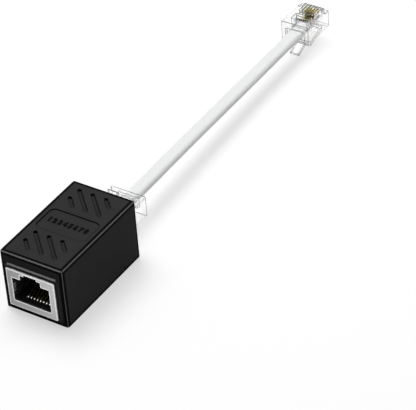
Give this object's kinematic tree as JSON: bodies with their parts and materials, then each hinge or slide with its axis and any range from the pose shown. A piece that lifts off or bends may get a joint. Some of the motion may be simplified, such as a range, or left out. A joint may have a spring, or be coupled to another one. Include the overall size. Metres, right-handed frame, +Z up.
{
  "type": "network to telephone adapter",
  "caption": "Black inline network coupler with a shielded open jack, and a short flat white lead plugged into its back that ends in a clear telephone plug.",
  "frame": {"origin": "middle of the coupler's underside", "axes": "+X across the coupler, +Y from the open jack towards the telephone plug, +Z up"},
  "size_m": [0.0208, 0.1579, 0.0198],
  "materials": {
    "housing": "fine satin moulded black",
    "jack_plastic": "satin black",
    "board": "green solder mask",
    "shield_metal": "nickel plated",
    "contact_gold": "gold plated",
    "clear_plastic": "clear polycarbonate",
    "cord_jacket": "white flexible jacket",
    "wire_yellow": "insulation",
    "wire_green": "insulation",
    "wire_red": "insulation",
    "wire_black": "insulation"
  },
  "bodies": {
    "root": {"housing_shell": "housing", "base_plate": "housing", "circuit_board": "board", "front_jack_insert": "jack_plastic", "rear_jack_insert": "jack_plastic", "front_shield": "shield_metal", "rear_shield": "shield_metal", "front_contact_1": "contact_gold", "front_contact_2": "contact_gold", "front_contact_3": "contact_gold", "front_contact_4": "contact_gold", "front_contact_5": "contact_gold", "front_contact_6": "contact_gold", "front_contact_7": "contact_gold", "front_contact_8": "contact_gold", "rear_contact_1": "contact_gold", "rear_contact_2": "contact_gold", "rear_contact_3": "contact_gold", "rear_contact_4": "contact_gold", "rear_contact_5": "contact_gold", "rear_contact_6": "contact_gold", "rear_contact_7": "contact_gold", "rear_contact_8": "contact_gold", "network_plug_body": "clear_plastic", "network_blade_1": "contact_gold", "network_blade_2": "contact_gold", "network_blade_3": "contact_gold", "network_blade_4": "contact_gold", "network_blade_5": "contact_gold", "network_blade_6": "contact_gold", "network_blade_7": "contact_gold", "network_blade_8": "contact_gold", "telephone_plug_body": "clear_plastic", "telephone_blade_1": "contact_gold", "telephone_blade_2": "contact_gold", "telephone_blade_3": "contact_gold", "telephone_blade_4": "contact_gold", "network_wire_yellow": "wire_yellow", "network_wire_green": "wire_green", "network_wire_red": "wire_red", "network_wire_black": "wire_black", "telephone_wire_yellow": "wire_yellow", "telephone_wire_green": "wire_green", "telephone_wire_red": "wire_red", "telephone_wire_black": "wire_black", "flat_cord": "cord_jacket"}
  },
  "joints": []
}
